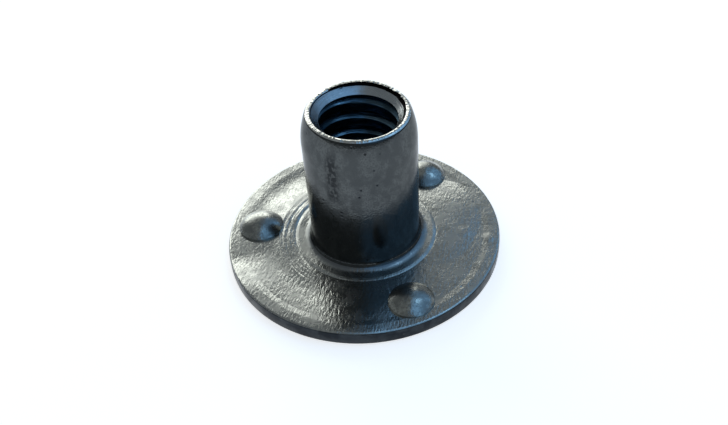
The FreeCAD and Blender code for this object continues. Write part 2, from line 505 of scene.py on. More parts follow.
@dataclass(frozen=True)
class Projections:
    """The three domes that melt into the weld, and the punch marks in the base below them."""

    size: NutSizes = SIZES
    facets: int = 72
    dome_steps: int = 18
    dimple_steps: int = 12
    sink: float = 0.4
    foot_inset: float = 0.03
    shoulder_band: float = 0.03

    def domes(self) -> bpy.types.Object:
        """Turns one dome, a little narrower at its foot, and copies it round the barrel.

        Returns:
            An object of the separate closed domes.
        """
        size = self.size
        axis = -size.projection_circle
        foot = size.weld_face - self.sink
        shoulder = size.weld_face + size.projection_wall
        edge = size.projection_radius
        top = shoulder + size.projection_crown
        drawing = Outline("projection_domes", (axis, foot))
        drawing.line(
            (axis + edge - self.foot_inset, foot),
            (axis + edge - self.foot_inset, size.weld_face),
            (axis + edge, shoulder - self.shoulder_band),
            (axis + edge, shoulder),
        )
        centre = (axis, top - dome_radius(edge, size.projection_crown))
        drawing.arc(centre, (axis, top), self.dome_steps)
        piece = drawing.turn(self.facets, axis)
        self._copy_round(piece)
        return piece

    def dimples(self) -> bpy.types.Object:
        """Turns the punch that leaves the mark in the base, and copies it round the bore.

        Returns:
            An object of the separate closed punches.
        """
        size = self.size
        axis = -size.projection_circle
        shoulder = size.dimple_side
        mouth = size.dimple_radius
        edge = mouth - size.dimple_draft
        top = shoulder + size.dimple_crown
        slope = size.dimple_draft / size.dimple_side
        drawing = Outline("punches", (axis, -self.sink))
        drawing.line((axis + mouth + slope * self.sink, -self.sink), (axis + edge, shoulder))
        centre = (axis, top - dome_radius(edge, size.dimple_crown))
        drawing.arc(centre, (axis, top), self.dimple_steps)
        piece = drawing.turn(self.facets, axis)
        self._copy_round(piece)
        return piece

    def _copy_round(self, piece: bpy.types.Object) -> None:
        """Copies the mesh to the other projections' places.

        Args:
            piece: the object whose first copy stands on the -X side.
        """
        only(piece)
        bpy.ops.object.mode_set(mode="EDIT")
        bpy.ops.mesh.select_all(action="SELECT")
        for _ in range(self.size.projection_count - 1):
            bpy.ops.mesh.duplicate()
            bpy.ops.transform.rotate(
                value=FULL_TURN / self.size.projection_count,
                orient_axis="Z",
                center_override=(0, 0, 0),
            )
        bpy.ops.object.mode_set(mode="OBJECT")


@dataclass(frozen=True)
class Tap:
    """The cutter that leaves the screw thread, one profile of a single pitch wound into a helix.
    The ridge's upper edge passes the crest's height at the crest's angle."""

    size: NutSizes = SIZES
    steps: int = 96
    turns: int = 15
    turns_above: int = 3
    ridge: float = 0.6
    corner: float = 0.05
    flank_angle: float = math.radians(30)
    crest_height: float = 10.42
    crest_angle: float = math.radians(111.6)
    overrun: float = 0.6
    seam: float = 0.002
    cut_slack: float = 0.0001

    def build(self) -> bpy.types.Object:
        """Winds the profile up the bore and cuts its ends level.

        Returns:
            The closed cutter.
        """
        size = self.size
        low = self.crest_height - self.ridge - self.crest_angle / FULL_TURN * size.thread_pitch
        low -= (self.turns - self.turns_above) * size.thread_pitch
        crest, root = size.bore_radius, size.thread_root_radius
        flank = (root - crest) * math.tan(self.flank_angle)
        drawing = Outline("tap", (crest, low))
        drawing.line(
            (crest, low + self.ridge - self.corner),
            (crest + self.corner / 2, low + self.ridge),
            (root, low + self.ridge + flank),
            (root, low + size.thread_pitch - flank),
            (crest + self.corner / 2, low + size.thread_pitch - self.corner / 2),
            (crest, low + size.thread_pitch),
        )
        piece = drawing.close()
        only(piece)
        winding = piece.modifiers.new("winding", "SCREW")
        winding.angle = FULL_TURN
        winding.screw_offset = size.thread_pitch * MM
        winding.iterations = self.turns
        winding.steps = winding.render_steps = self.steps
        winding.use_merge_vertices = False
        bpy.ops.object.modifier_apply(modifier=winding.name)
        self._level_ends(piece)
        return piece

    def _level_ends(self, piece: bpy.types.Object) -> None:
        """Cuts the winding flat below the base and at the countersink's foot, and closes it.

        Args:
            piece: the winding.
        """
        bpy.ops.object.mode_set(mode="EDIT")
        bpy.ops.mesh.select_all(action="SELECT")
        bpy.ops.mesh.remove_doubles(threshold=self.seam * MM)
        ends = ((-self.overrun, True), (self.size.cone_foot, False))
        for height, clear_below in ends:
            bpy.ops.mesh.select_all(action="SELECT")
            bpy.ops.mesh.bisect(
                plane_co=(0, 0, height * MM),
                plane_no=(0, 0, 1),
                use_fill=True,
                clear_inner=clear_below,
                clear_outer=not clear_below,
                threshold=self.cut_slack * MM,
            )
        bpy.ops.mesh.select_all(action="SELECT")
        bpy.ops.mesh.normals_make_consistent(inside=False)
        bpy.ops.object.mode_set(mode="OBJECT")


class Nodes:
    """A node tree and the short calls that fill it. The numbers are those of a Mix node's colour
    sockets, which share their names with its other sockets."""

    first_colour: int = 6
    second_colour: int = 7
    blended_colour: int = 2

    def __init__(self, tree: bpy.types.NodeTree) -> None:
        """Keeps the tree."""
        self.tree = tree

    def add(self, kind: str, inputs: dict | None = None, **settings: object) -> bpy.types.Node:
        """Adds a node.

        Args:
            kind: the node's type without its ShaderNode prefix.
            inputs: value or socket for each named or numbered input.
            settings: the node's own properties.
        Returns:
            The new node.
        """
        node = self.tree.nodes.new("ShaderNode" + kind)
        for key, value in settings.items():
            setattr(node, key, value)
        for key, value in (inputs or {}).items():
            self.plug(node.inputs[key], value)
        return node

    def plug(self, socket: bpy.types.NodeSocket, value: object) -> None:
        """Fills an input.

        Args:
            socket: the input.
            value: a socket to link into it, or its own value; a colour may leave out its alpha.
        """
        if isinstance(value, bpy.types.NodeSocket):
            self.tree.links.new(value, socket)
            return
        held = socket.default_value
        if hasattr(held, "__len__") and len(held) == 4 and len(value) == 3:
            value = (*value, 1.0)
        socket.default_value = value

    def math(self, operation: str, first: object, second: object = 0.0) -> bpy.types.NodeSocket:
        """Adds a Math node and returns its value."""
        return self.add("Math", {0: first, 1: second}, operation=operation).outputs[0]

    def times(self, first: object, second: object) -> bpy.types.NodeSocket:
        """Multiplies two values."""
        return self.math("MULTIPLY", first, second)

    def span(
        self, value: object, low: float, high: float, start: object = 0.0, end: object = 1.0
    ) -> bpy.types.NodeSocket:
        """Maps a value smoothly from one range onto another, and holds it at their ends.

        Args:
            value: the value.
            low: where the first range starts.
            high: where the first range ends.
            start: what low becomes.
            end: what high becomes.
        Returns:
            The mapped value.
        """
        inputs = {"Value": value, "From Min": low, "From Max": high, "To Min": start, "To Max": end}
        return self.add("MapRange", inputs, interpolation_type="SMOOTHSTEP").outputs["Result"]

    def blend(self, factor: object, first: object, second: object) -> bpy.types.NodeSocket:
        """Blends two colours.

        Args:
            factor: nought for the first colour, one for the second.
            first: a colour.
            second: another.
        Returns:
            The blend.
        """
        node = self.add("Mix", data_type="RGBA")
        self.plug(node.inputs["Factor"], factor)
        self.plug(node.inputs[self.first_colour], first)
        self.plug(node.inputs[self.second_colour], second)
        return node.outputs[self.blended_colour]


class Effect:
    """A shader node group that is built on first use and then placed in each material."""

    name: str = ""
    inputs: dict[str, float] = {}
    outputs: tuple[str, ...] = ()

    @classmethod
    def group(cls) -> bpy.types.NodeTree:
        """Finds the group or builds it.

        Returns:
            The group's tree.
        """
        if cls.name in bpy.data.node_groups:
            return bpy.data.node_groups[cls.name]
        tree = bpy.data.node_groups.new(cls.name, "ShaderNodeTree")
        for name, value in cls.inputs.items():
            socket = tree.interface.new_socket(name=name, in_out="INPUT", socket_type="NodeSocketFloat")
            socket.default_value = value
        for name in cls.outputs:
            tree.interface.new_socket(name=name, in_out="OUTPUT", socket_type="NodeSocketFloat")
        nodes = Nodes(tree)
        given = nodes.tree.nodes.new("NodeGroupInput").outputs
        results = cls.make(nodes, given)
        out = nodes.tree.nodes.new("NodeGroupOutput")
        for name, value in results.items():
            nodes.plug(out.inputs[name], value)
        return tree

    @classmethod
    def place(cls, nodes: Nodes, **values: object) -> dict:
        """Places the group in a material.

        Args:
            nodes: the material's nodes.
            values: value or socket for each input, by name.
        Returns:
            The group's outputs by name.
        """
        node = nodes.add("Group", node_tree=cls.group())
        for key, value in values.items():
            nodes.plug(node.inputs[key], value)
        return node.outputs

    @classmethod
    def make(cls, nodes: Nodes, given: dict) -> dict:
        """Fills the group, as each effect does in its own way.

        Args:
            nodes: the group's nodes.
            given: the group's inputs by name.
        Returns:
            A socket for each output's name.
        """
        raise NotImplementedError

    @staticmethod
    def point(nodes: Nodes) -> bpy.types.NodeSocket:
        """Returns the shaded point in the nut's own coordinates, in metres."""
        return nodes.add("TexCoord").outputs["Object"]

    @classmethod
    def offset(cls, nodes: Nodes, given: dict) -> bpy.types.NodeSocket:
        """Measures where the shaded point lies from a place on the flange, leaving out its height.

        Args:
            nodes: the group's nodes.
            given: the group's inputs, with the place's X and Y in millimetres.
        Returns:
            The level vector from the place to the point, in millimetres.
        """
        flat = (1 / MM, 1 / MM, 0.0)
        point = nodes.add("VectorMath", {0: cls.point(nodes), 1: flat}, operation="MULTIPLY").outputs[0]
        centre = nodes.add("CombineXYZ", {"X": given["X"], "Y": given["Y"], "Z": 0.0}).outputs[0]
        return nodes.add("VectorMath", {0: point, 1: centre}, operation="SUBTRACT").outputs[0]


class Place(Effect):
    """Where the shaded point is: its distance from the axis and height in millimetres, and its
    angle round the axis in radians."""

    name = "place_on_nut"
    outputs = ("Radius", "Height", "Angle")

    @classmethod
    def make(cls, nodes: Nodes, given: dict) -> dict:
        """Measures the point in the nut's own coordinates.

        Args:
            nodes: the group's nodes.
            given: the group's inputs, of which it has none.
        Returns:
            A socket for each output's name.
        """
        split = nodes.add("SeparateXYZ", {0: cls.point(nodes)}).outputs
        x_squared = nodes.times(split["X"], split["X"])
        y_squared = nodes.times(split["Y"], split["Y"])
        radius = nodes.math("SQRT", nodes.math("ADD", x_squared, y_squared))
        return {
            "Radius": nodes.times(radius, 1 / MM),
            "Height": nodes.times(split["Z"], 1 / MM),
            "Angle": nodes.math("ARCTAN2", split["Y"], split["X"]),
        }


class Peel(Effect):
    """Orange peel: short wrinkles of the skin, drawn out away from the axis, with grit in them."""

    name = "orange_peel"
    inputs = {"Round": 62.0, "Out": 3.4}
    outputs = ("Wrinkle", "Grit", "Swell")
    grit_scale: float = 8000.0
    swell_scale: float = 420.0

    @classmethod
    def make(cls, nodes: Nodes, given: dict) -> dict:
        """Reads noise in a space where the radius stands for height, so there is no seam.

        Args:
            nodes: the group's nodes.
            given: the wrinkles' density round the axis and away from it.
        Returns:
            A socket for each output's name.
        """
        place = Place.place(nodes)
        turn = nodes.add("CombineXYZ", {
            "X": nodes.times(nodes.math("COSINE", place["Angle"]), given["Round"]),
            "Y": nodes.times(nodes.math("SINE", place["Angle"]), given["Round"]),
            "Z": nodes.times(nodes.math("ADD", place["Radius"], place["Height"]), given["Out"]),
        }).outputs[0]
        wrinkles = nodes.add("TexNoise", {"Vector": turn, "Scale": 1.0, "Detail": 2.0, "Distortion": 0.4})
        fine = {"Vector": cls.point(nodes), "Scale": cls.grit_scale, "Detail": 2.0}
        grit = nodes.add("TexNoise", fine)
        coarse = {"Vector": cls.point(nodes), "Scale": cls.swell_scale, "Detail": 2.0, "Distortion": 0.5}
        swell = nodes.add("TexNoise", coarse)
        return {"Wrinkle": wrinkles.outputs[0], "Grit": grit.outputs[0], "Swell": swell.outputs[0]}


class Grain(Effect):
    """Short raised strokes of the skin that all run one way across the nut."""

    name = "short_grain"
    inputs = {"Across": 5.4, "Along": 2.2, "Bearing": 1.52}
    outputs = ("Height",)

    @classmethod
    def make(cls, nodes: Nodes, given: dict) -> dict:
        """Turns the point to the strokes' bearing and reads noise that is stretched along them.

        Args:
            nodes: the group's nodes.
            given: the strokes' density across and along them, a millimetre, and their bearing in radians.
        Returns:
            A socket for each output's name.
        """
        turn = {"Vector": cls.point(nodes), "Angle": nodes.times(given["Bearing"], -1.0)}
        turned = nodes.add("VectorRotate", turn, rotation_type="Z_AXIS").outputs[0]
        across = nodes.times(given["Across"], 1 / MM)
        along = nodes.times(given["Along"], 1 / MM)
        scale = nodes.add("CombineXYZ", {"X": along, "Y": across, "Z": across}).outputs[0]
        place = nodes.add("VectorMath", {0: turned, 1: scale}, operation="MULTIPLY").outputs[0]
        noise = nodes.add("TexNoise", {"Vector": place, "Scale": 1.0, "Detail": 2.0, "Distortion": 0.5})
        return {"Height": noise.outputs[0]}


class Rings(Effect):
    """Fine lines that run round the axis, as a turning or forming tool leaves them."""

    name = "turned_rings"
    inputs = {"Lines": 9.0, "Lean": 0.5}
    outputs = ("Height",)
    breaks: float = 1.3

    @classmethod
    def make(cls, nodes: Nodes, given: dict) -> dict:
        """Reads noise that changes fast across the lines and slowly along them.

        Args:
            nodes: the group's nodes.
            given: the lines a millimetre, and how much of the height counts as radius.
        Returns:
            A socket for each output's name.
        """
        place = Place.place(nodes)
        across = nodes.math("ADD", place["Radius"], nodes.times(place["Height"], given["Lean"]))
        line = nodes.add("CombineXYZ", {
            "X": nodes.times(nodes.math("COSINE", place["Angle"]), cls.breaks),
            "Y": nodes.times(nodes.math("SINE", place["Angle"]), cls.breaks),
            "Z": nodes.times(across, given["Lines"]),
        }).outputs[0]
        noise = nodes.add("TexNoise", {"Vector": line, "Scale": 1.0, "Detail": 3.0})
        return {"Height": noise.outputs[0]}


class Mottle(Effect):
    """Cloudy tarnish, with flecks and pits in it."""

    name = "mottled_tarnish"
    inputs = {"Scale": 500.0, "Stretch": 1.0}
    outputs = ("Cloud", "Fleck", "Pit")
    cloud_span: Span = (0.36, 0.64)
    fleck_span: Span = (0.42, 0.66)
    fleck_fineness: float = 7.0
    pit_scale: float = 1200.0
    pit_span: Span = (0.03, 0.14)

    @classmethod
    def make(cls, nodes: Nodes, given: dict) -> dict:
        """Reads a coarse and a fine noise, and a scatter of round cells for the pits.

        Args:
            nodes: the group's nodes.
            given: the clouds' density, and how much denser they lie up the nut.
        Returns:
            A socket for each output's name.
        """
        point = cls.point(nodes)
        scale = nodes.add("CombineXYZ", {"X": 1.0, "Y": 1.0, "Z": given["Stretch"]}).outputs[0]
        place = nodes.add("VectorMath", {0: point, 1: scale}, operation="MULTIPLY").outputs[0]
        coarse = {"Vector": place, "Scale": given["Scale"], "Detail": 5.0, "Distortion": 0.3}
        cloud = nodes.add("TexNoise", coarse)
        fine = {"Vector": place, "Scale": nodes.times(given["Scale"], cls.fleck_fineness), "Detail": 4.0}
        fleck = nodes.add("TexNoise", fine)
        cells = nodes.add("TexVoronoi", {"Vector": point, "Scale": cls.pit_scale})
        return {
            "Cloud": nodes.span(cloud.outputs[0], *cls.cloud_span),
            "Fleck": nodes.span(fleck.outputs[0], *cls.fleck_span),
            "Pit": nodes.span(cells.outputs["Distance"], *cls.pit_span, 1.0, 0.0),
        }


class Spot(Effect):
    """A round place on the flange: one at its middle and fading to nought at its edge."""

    name = "round_spot"
    inputs = {"X": 0.0, "Y": 0.0, "Reach": 1.0, "Softness": 1.0}
    outputs = ("Mask",)

    @classmethod
    def make(cls, nodes: Nodes, given: dict) -> dict:
        """Fades with the distance from the place.

        Args:
            nodes: the group's nodes.
            given: the place, its reach and how much of that fades, in millimetres.
        Returns:
            A socket for each output's name.
        """
        offset = cls.offset(nodes, given)
        away = nodes.add("VectorMath", {0: offset}, operation="LENGTH").outputs["Value"]
        inner = nodes.math("SUBTRACT", given["Reach"], given["Softness"])
        return {"Mask": nodes.span(away, inner, given["Reach"], 1.0, 0.0)}


class Lobe(Effect):
    """A low swelling of the flange that ends sharply on its far side and fades on the near side."""

    name = "lobe"
    inputs = {"X": 0.0, "Y": 0.0, "Reach": 1.0, "Shrink": 0.55}
    outputs = ("Height",)
    near_span: Span = (-0.5, 0.0)

    @classmethod
    def make(cls, nodes: Nodes, given: dict) -> dict:
        """Draws a round cap whose near half is stretched towards the front.

        Args:
            nodes: the group's nodes.
            given: the cap's place and reach in millimetres, and the share that the near half shrinks to.
        Returns:
            A socket for each output's name.
        """
        split = nodes.add("SeparateXYZ", {0: cls.offset(nodes, given)}).outputs
        near = nodes.span(split["Y"], *cls.near_span, given["Shrink"], 1.0)
        along = nodes.times(split["Y"], near)
        shrunk = nodes.add("CombineXYZ", {"X": split["X"], "Y": along, "Z": 0.0}).outputs[0]
        away = nodes.add("VectorMath", {0: shrunk}, operation="LENGTH").outputs["Value"]
        part = nodes.math("DIVIDE", away, given["Reach"])
        left = nodes.math("SUBTRACT", 1.0, nodes.times(part, part))
        return {"Height": nodes.math("MAXIMUM", left, 0.0)}


@dataclass(frozen=True)
class Steel:
    """Bare steel of one zone; in some zones its colour also holds painted shade. Colours are linear, and
    tarnish takes the metal from colour to dull and adds spread to its roughness. Grain, wrinkle, swell,
    grit, rings and pits are heights of the relief in micrometres. Lines and grain are counted a millimetre,
    mottle a metre."""

    name: str
    colour: Colour
    dull: Colour
    roughness: float = 0.25
    spread: float = 0.1
    grain: float = 0.0
    grain_across: float = 5.4
    grain_along: float = 2.2
    wrinkle: float = 0.0
    swell: float = 0.0
    grit: float = 1.0
    rings: float = 0.0
    ring_lines: float = 9.0
    ring_lean: float = 0.5
    mottle_scale: float = 500.0
    mottle_stretch: float = 1.0
    peel_round: float = 45.0
    peel_out: float = 2.2
    fleck: float = 0.25
    edge_tint: float = 1.0
    pits: float = 0.0
    pit_colour: Colour = (0.03, 0.033, 0.036)

    def material(self) -> bpy.types.Material:
        """Builds the zone's material.

        Returns:
            The new material.
        """
        finish = bpy.data.materials.new(self.name)
        finish.use_nodes = True
        nodes = Nodes(finish.node_tree)
        nodes.tree.nodes.clear()
        mottle = Mottle.place(nodes, Scale=self.mottle_scale, Stretch=self.mottle_stretch)
        colour = nodes.blend(mottle["Cloud"], self.dull, self.colour)
        colour = nodes.blend(nodes.times(mottle["Fleck"], self.fleck), colour, self.dull)
        if self.pits:
            colour = nodes.blend(mottle["Pit"], colour, self.pit_colour)
        colour = self.stains_and_painted_shade(nodes, colour)
        rough = nodes.span(mottle["Cloud"], 0.0, 1.0, self.roughness + self.spread, self.roughness)
        rough = self.roughened(nodes, rough)
        relief = self.relief(nodes, mottle["Pit"])
        bump = nodes.add("Bump", {"Strength": 1.0, "Distance": MICROMETRE, "Height": relief})
        skin = nodes.add("BsdfPrincipled", {
            "Base Color": colour,
            "Metallic": 1.0,
            "Roughness": rough,
            "Specular Tint": (self.edge_tint,) * 3,
            "Normal": bump.outputs[0],
        })
        out = nodes.add("OutputMaterial")
        nodes.plug(out.inputs["Surface"], skin.outputs[0])
        return finish

    def stains_and_painted_shade(self, nodes: Nodes, colour: bpy.types.NodeSocket) -> bpy.types.NodeSocket:
        """Returns the colour with this zone's own stains or painted shade, here none."""
        return colour

    def roughened(self, nodes: Nodes, rough: bpy.types.NodeSocket) -> bpy.types.NodeSocket:
        """Returns the roughness with this zone's own scuffed places, here none."""
        return rough

    def relief(self, nodes: Nodes, pit: bpy.types.NodeSocket) -> bpy.types.NodeSocket:
        """Adds up the skin's relief.

        Args:
            nodes: the material's nodes.
            pit: mask of the pits.
        Returns:
            The height in micrometres.
        """
        grain = Grain.place(nodes, Across=self.grain_across, Along=self.grain_along)
        peel = Peel.place(nodes, Round=self.peel_round, Out=self.peel_out)
        lines = Rings.place(nodes, Lines=self.ring_lines, Lean=self.ring_lean)
        parts = (
            (peel["Wrinkle"], self.wrinkle),
            (peel["Swell"], self.swell),
            (peel["Grit"], self.grit),
            (lines["Height"], self.rings),
            (pit, -self.pits),
        )
        relief = nodes.times(grain["Height"], self.grain)
        for height, scale in parts:
            if scale:
                relief = nodes.math("ADD", relief, nodes.times(height, scale))
        return relief


@dataclass(frozen=True)
class Side:
    """One side of the nut, at a bearing in degrees. Its mask rises from nought to one between two
    cosines of the angle from that bearing."""

    bearing: float
    low: float
    high: float

    def mask(self, nodes: Nodes, angle: bpy.types.NodeSocket) -> bpy.types.NodeSocket:
        """Masks this side, for a point at an angle round the axis."""
        away = nodes.math("SUBTRACT", angle, math.radians(self.bearing))
        return nodes.span(nodes.math("COSINE", away), self.low, self.high)


@dataclass(frozen=True)
class Dent:
    """A shallow round dent of the flange, or a swelling where its height is above nought. Places
    and reach are in millimetres, the height in micrometres."""

    x: float
    y: float
    reach: float
    softness: float
    height: float

    def relief(self, nodes: Nodes) -> bpy.types.NodeSocket:
        """Returns the height that the dent adds at the shaded point."""
        spot = Spot.place(nodes, X=self.x, Y=self.y, Reach=self.reach, Softness=self.softness)
        return nodes.times(spot["Mask"], self.height)


@dataclass(frozen=True)
class FaceSteel(Steel):
    """The weld face. The forming tool left rings beside the collar, a trough behind the left
    projection, a dished front, a groove at the collar's foot and a lobe on the right. Spans are
    distances from the axis in millimetres, heights are in micrometres."""

    tool_rings: float = 75.0
    tool_ring_lines: float = 4.2
    tool_ring_start: Span = (4.9, 5.3)
    tool_ring_end: Span = (5.9, 6.7)
    tool_ring_side: Side = Side(172, 0.1, 0.9)
    trough: float = 70.0
    trough_slope: Span = (6.1, 7.8)
    trough_lip: float = 28.0
    trough_lip_slope: Span = (7.8, 8.6)
    trough_side: Side = Side(147, 0.82, 0.98)
    dish: float = 235.0
    dish_slope: Span = (5.4, 9.3)
    dish_side: Side = Side(245, 0.7, 0.95)
    groove: float = 9.0
    groove_radius: float = 4.95
    groove_width: float = 0.1
    lobe: float = 105.0
    lobe_place: Point = (5.0, 2.7)
    lobe_reach: float = 3.2
    # Painted shade: the fillet darkens towards the barrel between these distances from the axis.
    fillet_shade_span: Span = (3.85, 4.5)
    fillet_painted_shade: Colour = (0.16, 0.17, 0.18)
    collar_fade: Span = (4.6, 5.2)
    collar_scuff: float = 0.05
    dents: tuple[Dent, ...] = (
        Dent(8.75, -0.2, 0.6, 0.5, 18.0),
        Dent(7.0, 0.4, 0.7, 0.5, 14.0),
        Dent(7.0, -5.08, 0.13, 0.12, -45.0),
        Dent(-7.3, 0.0, 5.0, 4.8, 110.0),
        Dent(1.2, -7.2, 4.6, 4.5, 130.0),
        Dent(2.2, -7.3, 1.8, 1.5, 10.0),
    )

    def stains_and_painted_shade(self, nodes: Nodes, colour: bpy.types.NodeSocket) -> bpy.types.NodeSocket:
        """Darkens the fillet towards the barrel's dark colour: painted shade in the corner at the barrel's
        foot.
        """
        near = nodes.span(Place.place(nodes)["Radius"], *self.fillet_shade_span)
        return nodes.blend(near, self.fillet_painted_shade, colour)

    def roughened(self, nodes: Nodes, rough: bpy.types.NodeSocket) -> bpy.types.NodeSocket:
        """Scuffs the fillet and the collar."""
        scuff = nodes.span(Place.place(nodes)["Radius"], *self.collar_fade, self.collar_scuff, 0.0)
        return nodes.math("ADD", rough, scuff)

    def relief(self, nodes: Nodes, pit: bpy.types.NodeSocket) -> bpy.types.NodeSocket:
        """Adds the forming tool's marks and the dents to the skin's relief.

        Args:
            nodes: the material's nodes.
            pit: mask of the pits.
        Returns:
            The height in micrometres.
        """
        place = Place.place(nodes)
        x, y = self.lobe_place
        lobe = Lobe.place(nodes, X=x, Y=y, Reach=self.lobe_reach)
        marks = (
            self._tool_rings(nodes, place),
            self._trough(nodes, place),
            self._dish(nodes, place),
            self._groove(nodes, place),
            nodes.times(lobe["Height"], self.lobe),
            *(dent.relief(nodes) for dent in self.dents),
        )
        height = super().relief(nodes, pit)
        for mark in marks:
            height = nodes.math("ADD", height, mark)
        return height

    def _tool_rings(self, nodes: Nodes, place: dict) -> bpy.types.NodeSocket:
        """Draws coarse rings beside the collar.

        Args:
            nodes: the material's nodes.
            place: where the shaded point is.
        Returns:
            The height in micrometres.
        """
        outward = nodes.span(place["Radius"], *self.tool_ring_start)
        inward = nodes.span(place["Radius"], *self.tool_ring_end, 1.0, 0.0)
        side = self.tool_ring_side.mask(nodes, place["Angle"])
        band = nodes.times(nodes.times(nodes.times(outward, inward), side), self.tool_rings)
        rings = Rings.place(nodes, Lines=self.tool_ring_lines, Lean=0.0)
        return nodes.times(rings["Height"], band)

    def _trough(self, nodes: Nodes, place: dict) -> bpy.types.NodeSocket:
        """Slopes the flange down and up again behind the left projection.

        Args:
            nodes: the material's nodes.
            place: where the shaded point is.
        Returns:
            The height in micrometres.
        """
        down = nodes.span(place["Radius"], *self.trough_slope, self.trough, 0.0)
        up = nodes.span(place["Radius"], *self.trough_lip_slope, 0.0, self.trough_lip)
        return nodes.times(nodes.math("ADD", down, up), self.trough_side.mask(nodes, place["Angle"]))

    def _dish(self, nodes: Nodes, place: dict) -> bpy.types.NodeSocket:
        """Raises the front of the flange towards its edge."""
        rise = nodes.span(place["Radius"], *self.dish_slope, 0.0, self.dish)
        return nodes.times(rise, self.dish_side.mask(nodes, place["Angle"]))

    def _groove(self, nodes: Nodes, place: dict) -> bpy.types.NodeSocket:
        """Scratches a line round the collar's foot."""
        away = nodes.math("ABSOLUTE", nodes.math("SUBTRACT", place["Radius"], self.groove_radius))
        return nodes.span(away, 0.0, self.groove_width, -self.groove, 0.0)


@dataclass(frozen=True)
class BarrelSteel(Steel):
    """The barrel, with a dark speckled stain that runs down its side. The stain fades out between
    two distances from its middle, and at its foot and head between two heights, in millimetres."""

    stain_bearing: float = -111.0
    stain_side: Span = (0.126, 0.714)
    stain_foot: Span = (6.3, 7.5)
    stain_head: Span = (9.7, 11.2)
    stain_colour: Colour = (0.024, 0.026, 0.028)
    speckle_scale: float = 5200.0
    speckle_stretch: float = 0.7
    speckle_span: Span = (0.1, 0.8)
    speckle_strength: Span = (0.25, 1.0)

    def stains_and_painted_shade(self, nodes: Nodes, colour: bpy.types.NodeSocket) -> bpy.types.NodeSocket:
        """Blends the stain in, broken up into speckles.

        Args:
            nodes: the material's nodes.
            colour: the colour without the stain.
        Returns:
            The stained colour.
        """
        place = Place.place(nodes)
        away = nodes.math("SUBTRACT", place["Angle"], math.radians(self.stain_bearing))
        away = nodes.times(nodes.math("ABSOLUTE", away), SIZES.barrel_radius)
        side = nodes.span(away, *self.stain_side, 1.0, 0.0)
        low = nodes.span(place["Height"], *self.stain_foot)
        high = nodes.span(place["Height"], *self.stain_head, 1.0, 0.0)
        speckles = Mottle.place(nodes, Scale=self.speckle_scale, Stretch=self.speckle_stretch)
        broken = nodes.span(speckles["Cloud"], *self.speckle_span, *self.speckle_strength)
        mask = nodes.times(nodes.times(side, low), nodes.times(high, broken))
        return nodes.blend(mask, colour, self.stain_colour)


